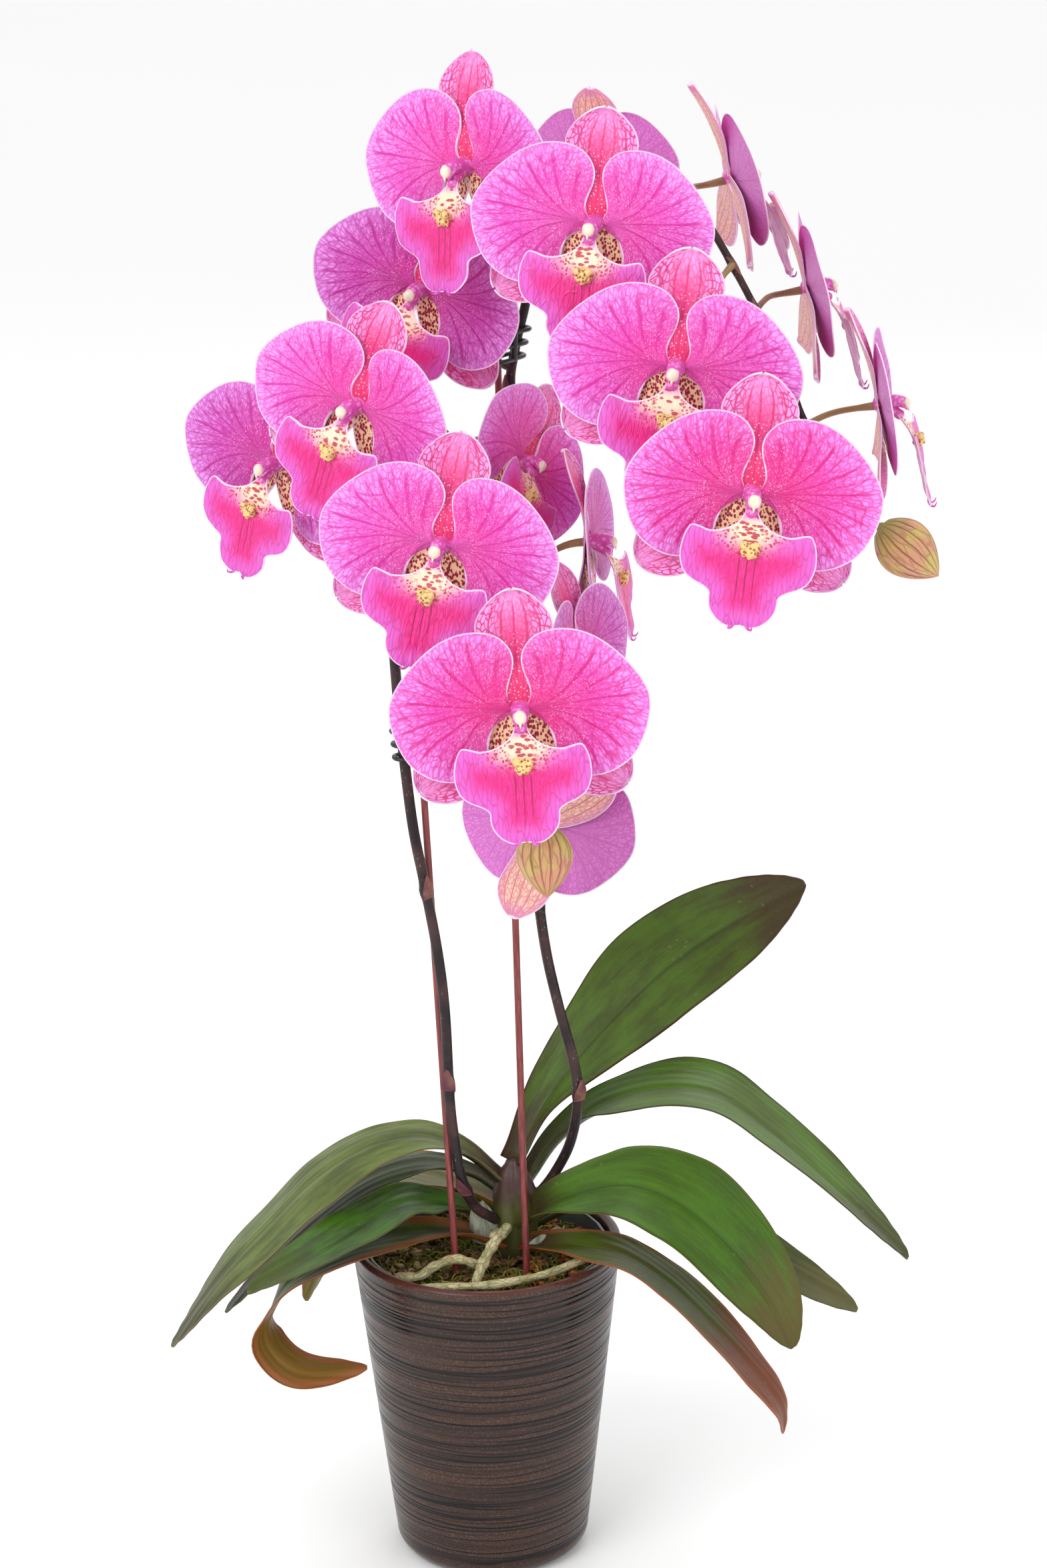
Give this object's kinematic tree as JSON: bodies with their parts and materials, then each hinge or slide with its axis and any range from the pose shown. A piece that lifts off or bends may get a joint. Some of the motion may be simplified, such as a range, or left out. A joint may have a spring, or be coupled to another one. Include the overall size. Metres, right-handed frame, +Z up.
{
  "type": "potted orchid",
  "caption": "Potted moth orchid with veined magenta flowers on two arching spikes, strap leaves and aerial roots in a ribbed dark ceramic pot.",
  "frame": {"origin": "centre of the pot's flat bottom, on the surface it stands on", "axes": "+Z up; +X to the right and -Y towards the viewer when the flowers are seen from the front"},
  "size_m": [0.3576, 0.2682, 0.7285],
  "materials": {
    "pot_glaze": "gloss, fine uneven horizontal grooves",
    "grow_pot_plastic": "smooth",
    "bark": "rough bark and moss",
    "crown_tissue": "satin",
    "spike_tissue": "satin, finely speckled",
    "stake": "satin coated rod",
    "clip_plastic": "satin",
    "leaf": "satin, waxy",
    "root": "matt, velvety",
    "bud": "satin, dark veins",
    "petal": "soft satin, magenta veins",
    "lip": "waxy, spotted throat"
  },
  "bodies": {
    "root": {"pot": "pot_glaze", "grow_pot": "grow_pot_plastic", "potting_medium": "bark", "crown_stem": "crown_tissue", "spike_left": "spike_tissue", "spike_right": "spike_tissue", "stake_left": "stake", "stake_right": "stake", "clip_left": "clip_plastic", "clip_right": "clip_plastic", "leaf_01": "leaf", "leaf_02": "leaf", "leaf_03": "leaf", "leaf_04": "leaf", "leaf_05": "leaf", "leaf_06": "leaf", "leaf_07": "leaf", "leaf_08": "leaf", "leaf_09": "leaf", "leaf_10": "leaf", "root_01": "root", "root_02": "root", "root_03": "root", "bud_left": "bud", "bud_right": "bud", "flower_01": "petal", "flower_02": "petal", "flower_03": "petal", "flower_04": "petal", "flower_05": "petal", "flower_06": "petal", "flower_07": "petal", "flower_08": "petal", "flower_09": "petal", "flower_10": "petal", "flower_11": "petal", "flower_12": "petal", "flower_13": "petal", "flower_14": "petal", "flower_15": "petal", "flower_16": "petal", "flower_17": "petal", "lip_01": "lip", "lip_02": "lip", "lip_03": "lip", "lip_04": "lip", "lip_05": "lip", "lip_06": "lip", "lip_07": "lip", "lip_08": "lip", "lip_09": "lip", "lip_10": "lip", "lip_11": "lip", "lip_12": "lip", "lip_13": "lip", "lip_14": "lip", "lip_15": "lip", "lip_16": "lip", "lip_17": "lip"}
  },
  "joints": []
}
